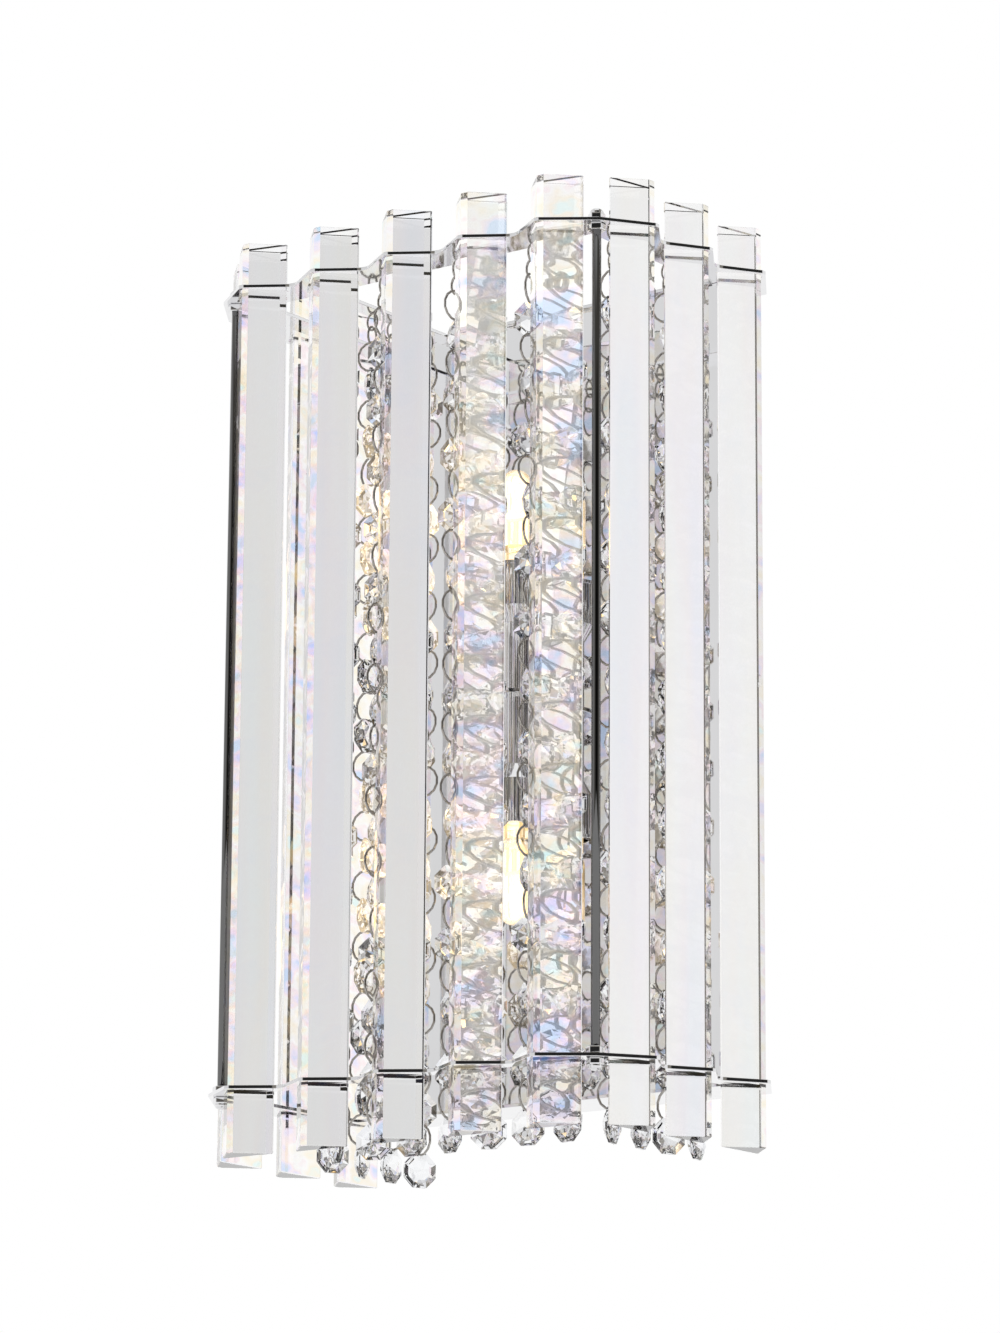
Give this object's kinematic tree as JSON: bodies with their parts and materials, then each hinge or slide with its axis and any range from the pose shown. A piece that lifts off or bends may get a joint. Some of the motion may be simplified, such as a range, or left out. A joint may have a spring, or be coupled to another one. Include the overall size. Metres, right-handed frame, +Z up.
{
  "type": "crystal wall sconce",
  "caption": "Wall light with upright clear prism bars in saw-tooth chrome frames round three sides and hanging crystal strands round two capsule lamps.",
  "frame": {"origin": "middle of the wall bracket's slot pattern, on the wall plane", "axes": "+Z up, the wall is Y = 0, the front faces -Y"},
  "size_m": [0.2328, 0.1414, 0.4066],
  "materials": {
    "bar_glass": "polished clear",
    "crystal_glass": "cut and polished",
    "wire": "bright",
    "frame_chrome": "mirror bright",
    "rod_chrome": "mirror bright",
    "fastener_chrome": "bright",
    "box_mirror": "mirror bright",
    "zinc_steel": "zinc plated",
    "white_plastic": "satin",
    "lamp_chrome": "bright",
    "lamp_glass": "clear",
    "lamp_wire": "drawn"
  },
  "bodies": {
    "fixture": {"back_box": "box_mirror", "bar_front_1": "bar_glass", "bar_front_2": "bar_glass", "bar_front_3": "bar_glass", "bar_front_4": "bar_glass", "bar_front_5": "bar_glass", "bar_left_1": "bar_glass", "bar_left_2": "bar_glass", "bar_left_3": "bar_glass", "bar_right_1": "bar_glass", "bar_right_2": "bar_glass", "bar_right_3": "bar_glass", "bottom_frame": "frame_chrome", "cap_nuts": "fastener_chrome", "corner_rods": "rod_chrome", "lamp_bracket": "lamp_chrome", "lampholder_lower": "lamp_chrome", "lampholder_upper": "lamp_chrome", "lock_nuts": "fastener_chrome", "screws": "fastener_chrome", "strand_rail": "frame_chrome", "terminal_block": "white_plastic", "top_frame": "frame_chrome", "wall_bracket": "zinc_steel"},
    "strand_front_1": {"strand_front_1_crystals": "crystal_glass", "strand_front_1_rings": "wire"},
    "strand_front_2": {"strand_front_2_crystals": "crystal_glass", "strand_front_2_rings": "wire"},
    "strand_front_3": {"strand_front_3_crystals": "crystal_glass", "strand_front_3_rings": "wire"},
    "strand_front_4": {"strand_front_4_crystals": "crystal_glass", "strand_front_4_rings": "wire"},
    "strand_front_5": {"strand_front_5_crystals": "crystal_glass", "strand_front_5_rings": "wire"},
    "strand_front_6": {"strand_front_6_crystals": "crystal_glass", "strand_front_6_rings": "wire"},
    "strand_front_7": {"strand_front_7_crystals": "crystal_glass", "strand_front_7_rings": "wire"},
    "strand_left_1": {"strand_left_1_crystals": "crystal_glass", "strand_left_1_rings": "wire"},
    "strand_left_2": {"strand_left_2_crystals": "crystal_glass", "strand_left_2_rings": "wire"},
    "strand_left_3": {"strand_left_3_crystals": "crystal_glass", "strand_left_3_rings": "wire"},
    "strand_left_4": {"strand_left_4_crystals": "crystal_glass", "strand_left_4_rings": "wire"},
    "strand_right_1": {"strand_right_1_crystals": "crystal_glass", "strand_right_1_rings": "wire"},
    "strand_right_2": {"strand_right_2_crystals": "crystal_glass", "strand_right_2_rings": "wire"},
    "strand_right_3": {"strand_right_3_crystals": "crystal_glass", "strand_right_3_rings": "wire"},
    "strand_right_4": {"strand_right_4_crystals": "crystal_glass", "strand_right_4_rings": "wire"},
    "bulb_upper": {"bulb_upper_glass": "lamp_glass", "bulb_upper_wires": "lamp_wire"},
    "bulb_lower": {"bulb_lower_glass": "lamp_glass", "bulb_lower_wires": "lamp_wire"}
  },
  "joints": [
    {"name": "strand_front_1_swing", "type": "hinge", "parent": "fixture", "child": "strand_front_1", "pos_m": [-0.04, -0.117, 0.16885], "axis": [1, 0, 0], "range_deg": [-0.25, 3]},
    {"name": "strand_front_2_swing", "type": "hinge", "parent": "fixture", "child": "strand_front_2", "pos_m": [-0.02, -0.117, 0.16885], "axis": [1, 0, 0], "range_deg": [-0.25, 3]},
    {"name": "strand_front_3_swing", "type": "hinge", "parent": "fixture", "child": "strand_front_3", "pos_m": [0, -0.117, 0.16885], "axis": [1, 0, 0], "range_deg": [-0.25, 3]},
    {"name": "strand_front_4_swing", "type": "hinge", "parent": "fixture", "child": "strand_front_4", "pos_m": [0.02, -0.117, 0.16885], "axis": [1, 0, 0], "range_deg": [-0.25, 3]},
    {"name": "strand_front_5_swing", "type": "hinge", "parent": "fixture", "child": "strand_front_5", "pos_m": [0.04, -0.117, 0.16885], "axis": [1, 0, 0], "range_deg": [-0.25, 3]},
    {"name": "strand_front_6_swing", "type": "hinge", "parent": "fixture", "child": "strand_front_6", "pos_m": [0.06, -0.117, 0.16885], "axis": [1, 0, 0], "range_deg": [-0.25, 3]},
    {"name": "strand_front_7_swing", "type": "hinge", "parent": "fixture", "child": "strand_front_7", "pos_m": [0.08, -0.117, 0.16885], "axis": [1, 0, 0], "range_deg": [-0.25, 3]},
    {"name": "strand_left_1_swing", "type": "hinge", "parent": "fixture", "child": "strand_left_1", "pos_m": [-0.053, -0.103, 0.16735], "axis": [0, 1, 0], "range_deg": [-3, 3]},
    {"name": "strand_left_2_swing", "type": "hinge", "parent": "fixture", "child": "strand_left_2", "pos_m": [-0.053, -0.083, 0.16735], "axis": [0, 1, 0], "range_deg": [-3, 3]},
    {"name": "strand_left_3_swing", "type": "hinge", "parent": "fixture", "child": "strand_left_3", "pos_m": [-0.053, -0.063, 0.16735], "axis": [0, 1, 0], "range_deg": [-3, 3]},
    {"name": "strand_left_4_swing", "type": "hinge", "parent": "fixture", "child": "strand_left_4", "pos_m": [-0.053, -0.043, 0.16735], "axis": [0, 1, 0], "range_deg": [-3, 3]},
    {"name": "strand_right_1_swing", "type": "hinge", "parent": "fixture", "child": "strand_right_1", "pos_m": [0.092, -0.103, 0.16885], "axis": [0, -1, 0], "range_deg": [-3, 0.25]},
    {"name": "strand_right_2_swing", "type": "hinge", "parent": "fixture", "child": "strand_right_2", "pos_m": [0.092, -0.083, 0.16885], "axis": [0, -1, 0], "range_deg": [-3, 0.25]},
    {"name": "strand_right_3_swing", "type": "hinge", "parent": "fixture", "child": "strand_right_3", "pos_m": [0.092, -0.063, 0.16885], "axis": [0, -1, 0], "range_deg": [-3, 0.25]},
    {"name": "strand_right_4_swing", "type": "hinge", "parent": "fixture", "child": "strand_right_4", "pos_m": [0.092, -0.043, 0.16885], "axis": [0, -1, 0], "range_deg": [-3, 0.25]},
    {"name": "bulb_upper_pull", "type": "slide", "parent": "fixture", "child": "bulb_upper", "axis": [0, 0, 1], "range_m": [0, 0.012]},
    {"name": "bulb_lower_pull", "type": "slide", "parent": "fixture", "child": "bulb_lower", "axis": [0, 0, -1], "range_m": [0, 0.012]}
  ]
}
